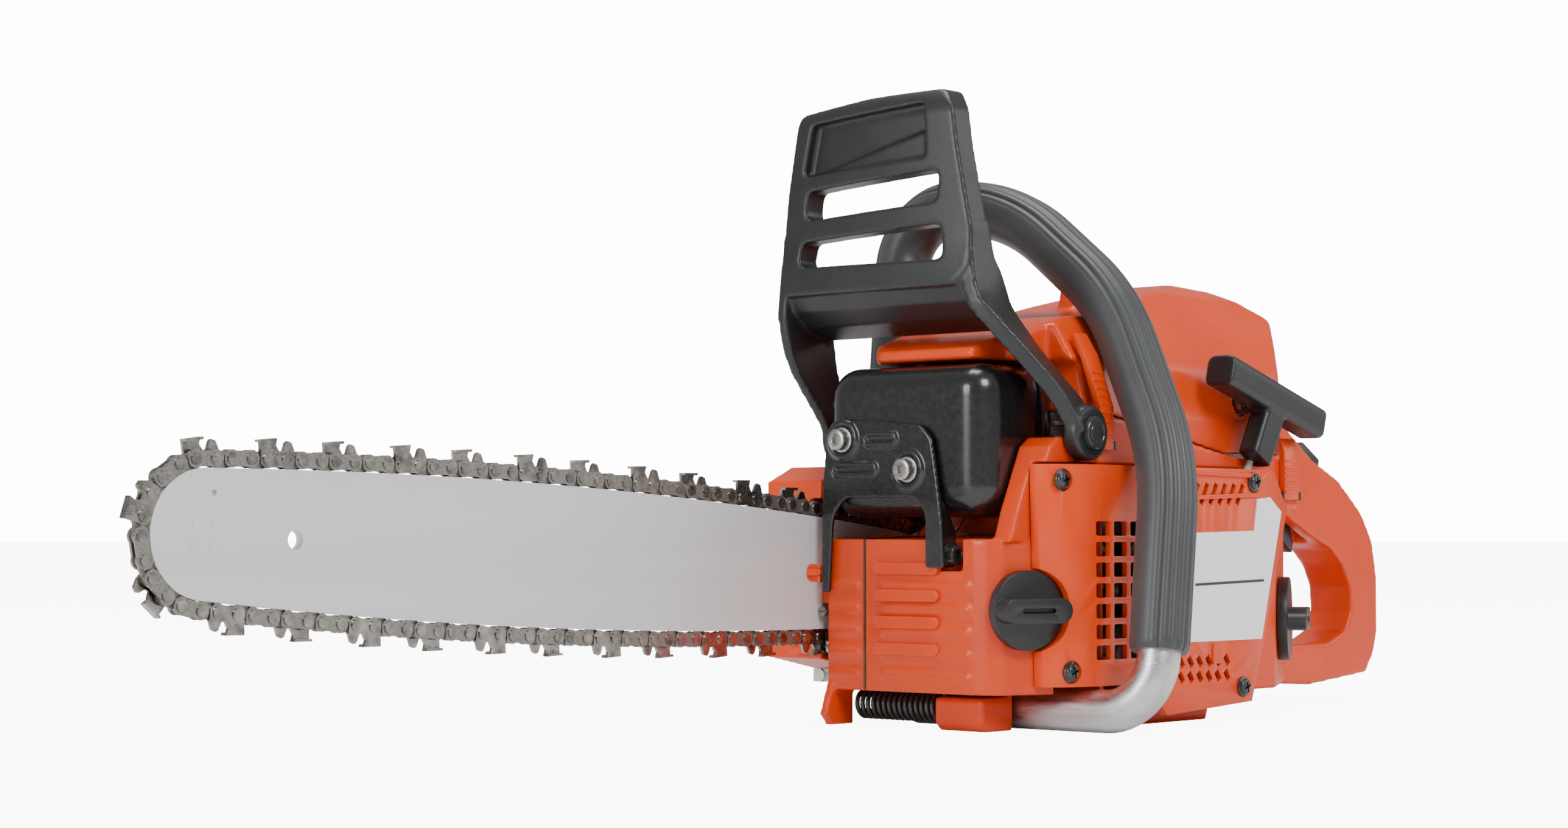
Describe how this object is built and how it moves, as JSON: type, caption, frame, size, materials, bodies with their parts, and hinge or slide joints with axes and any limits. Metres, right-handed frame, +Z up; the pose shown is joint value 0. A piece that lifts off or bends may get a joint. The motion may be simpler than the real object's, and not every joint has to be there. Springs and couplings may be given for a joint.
{
  "type": "chainsaw",
  "caption": "Petrol chainsaw with guide bar and cutting chain, wrap-around front handle with hinged hand guard, rear handle with trigger, pull starter and filler caps.",
  "frame": {"origin": "on the ground straight below the crankshaft axis, at the bottom face of the base", "axes": "+X forward along the guide bar, +Y to the starter side (operator left), +Z up"},
  "size_m": [0.7536, 0.2063, 0.288],
  "materials": {
    "orange_shell": "gloss",
    "orange_casting": "gloss",
    "dark_plastic": "satin",
    "grip_rubber": "matte",
    "black_steel": "satin",
    "bar_steel": "satin",
    "chain_steel": "satin",
    "cutter_chrome": "polished",
    "zinc_steel": "satin",
    "bare_aluminium": "satin",
    "spring_black": "gloss",
    "label_white": "gloss",
    "filter_felt": "matte",
    "rope_nylon": "matte"
  },
  "bodies": {
    "powerhead": {"air_filter": "filter_felt", "av_springs": "spring_black", "bar_studs_and_nuts": "zinc_steel", "brake_band": "chain_steel", "carburettor": "bare_aluminium", "case_screws": "zinc_steel", "chain_catcher": "bare_aluminium", "chain_cutters": "cutter_chrome", "chain_drive_links": "chain_steel", "chain_rivets": "cutter_chrome", "chain_tie_straps": "chain_steel", "clutch_cover": "orange_shell", "clutch_drum": "chain_steel", "crank_bearings": "zinc_steel", "crankcase_left": "orange_casting", "crankcase_right": "orange_casting", "cylinder": "bare_aluminium", "front_handle_grip": "grip_rubber", "front_handle_tube": "bare_aluminium", "fuel_pickup": "filter_felt", "guide_bar": "bar_steel", "hinge_pins_and_bolts": "zinc_steel", "ignition_module": "black_steel", "intake_boot": "grip_rubber", "label_plate": "label_white", "muffler": "black_steel", "muffler_bracket": "black_steel", "nose_sprocket": "bar_steel", "oil_pump": "bare_aluminium", "rear_handle_tank": "orange_shell", "recoil_spring": "zinc_steel", "rim_sprocket": "chain_steel", "spark_plug": "zinc_steel", "spark_plug_boot": "grip_rubber", "starter_cover": "orange_shell", "starter_rope_lead": "rope_nylon", "tensioner_pin": "chain_steel", "top_cover": "orange_shell"},
    "crank": {"crankshaft_halves": "zinc_steel", "flywheel": "bare_aluminium", "flywheel_nut_and_pawls": "zinc_steel", "clutch_hub_and_shoes": "chain_steel"},
    "piston_and_rod": {"piston": "bare_aluminium", "piston_rings": "zinc_steel", "connecting_rod": "zinc_steel", "crankpin_and_wrist_pin": "zinc_steel"},
    "guard": {"hand_guard": "dark_plastic"},
    "trigger": {"throttle_trigger": "dark_plastic"},
    "lockout": {"throttle_lockout": "dark_plastic"},
    "switch": {"stop_switch": "dark_plastic"},
    "choke": {"choke_knob": "dark_plastic"},
    "fuel_cap_body": {"fuel_cap": "dark_plastic"},
    "oil_cap_body": {"oil_cap": "dark_plastic"},
    "pull_handle": {"starter_handle": "dark_plastic"},
    "pulley": {"starter_pulley": "dark_plastic", "starter_rope_coil": "rope_nylon"},
    "decompression": {"decompression_button": "zinc_steel"},
    "front_clip": {"cover_clip_front": "orange_shell"},
    "rear_clip": {"cover_clip_rear": "orange_shell"},
    "tension_screw": {"tensioner_screw": "chain_steel"}
  },
  "joints": [
    {"name": "hand_guard_tilt", "type": "hinge", "parent": "powerhead", "child": "guard", "pos_m": [0.066, 0, 0.132], "axis": [0, 1, 0], "range_deg": [0, 13]},
    {"name": "throttle_squeeze", "type": "hinge", "parent": "powerhead", "child": "trigger", "pos_m": [-0.172, 0.005, 0.116], "axis": [0, 1, 0], "range_deg": [0, 18], "stiffness_Nm_per_rad": 0.3, "springref_deg": -11.46},
    {"name": "lockout_press", "type": "hinge", "parent": "powerhead", "child": "lockout", "pos_m": [-0.214, 0.005, 0.117], "axis": [0, 1, 0], "range_deg": [0, 10], "stiffness_Nm_per_rad": 0.3, "springref_deg": -11.46},
    {"name": "stop_switch_slide", "type": "slide", "parent": "powerhead", "child": "switch", "axis": [1, 0, 0], "range_m": [0, 0.006]},
    {"name": "choke_pull", "type": "slide", "parent": "powerhead", "child": "choke", "axis": [-1, 0, 0], "range_m": [0, 0.007]},
    {"name": "fuel_cap_turn", "type": "hinge", "parent": "powerhead", "child": "fuel_cap_body", "pos_m": [-0.12, 0.047, 0.046], "axis": [-0.4695, 0.8829, 0], "range_deg": [0, 90]},
    {"name": "oil_cap_turn", "type": "hinge", "parent": "powerhead", "child": "oil_cap_body", "pos_m": [0.095, 0.0514, 0.054], "axis": [0.3584, 0.9336, 0], "range_deg": [0, 90]},
    {"name": "starter_pull", "type": "slide", "parent": "powerhead", "child": "pull_handle", "axis": [-0.4899, 0, 0.8718], "range_m": [0, 0.8], "stiffness_N_per_m": 12, "springref_m": -0.3},
    {"name": "starter_pulley_spin", "type": "hinge", "parent": "powerhead", "child": "pulley", "pos_m": [0, 0.06, 0.064], "axis": [0, 1, 0], "range_deg": [-1770, 0]},
    {"name": "crank_spin", "type": "hinge", "parent": "powerhead", "child": "crank", "pos_m": [0, 0, 0.064], "axis": [0, 1, 0], "continuous": true},
    {"name": "piston_stroke", "type": "slide", "parent": "powerhead", "child": "piston_and_rod", "axis": [0, 0, 1], "range_m": [-0.032, 0]},
    {"name": "decompression_push", "type": "slide", "parent": "powerhead", "child": "decompression", "axis": [0, -1, 0], "range_m": [0, 0.004], "stiffness_N_per_m": 300, "springref_m": -0.004},
    {"name": "front_clip_open", "type": "hinge", "parent": "powerhead", "child": "front_clip", "pos_m": [0.047, 0.0618, 0.127], "axis": [-1, 0, 0], "range_deg": [0, 4]},
    {"name": "rear_clip_open", "type": "hinge", "parent": "powerhead", "child": "rear_clip", "pos_m": [-0.1065, 0.0618, 0.106], "axis": [-1, 0, 0], "range_deg": [0, 35]},
    {"name": "tension_screw_turn", "type": "hinge", "parent": "powerhead", "child": "tension_screw", "pos_m": [0.09, -0.0508, 0.05205], "axis": [1, 0, 0], "range_deg": [-180, 180]}
  ],
  "couplings": [
    {"joint": "starter_pulley_spin", "follows": "starter_pull", "rad_per_m": -38.462}
  ]
}
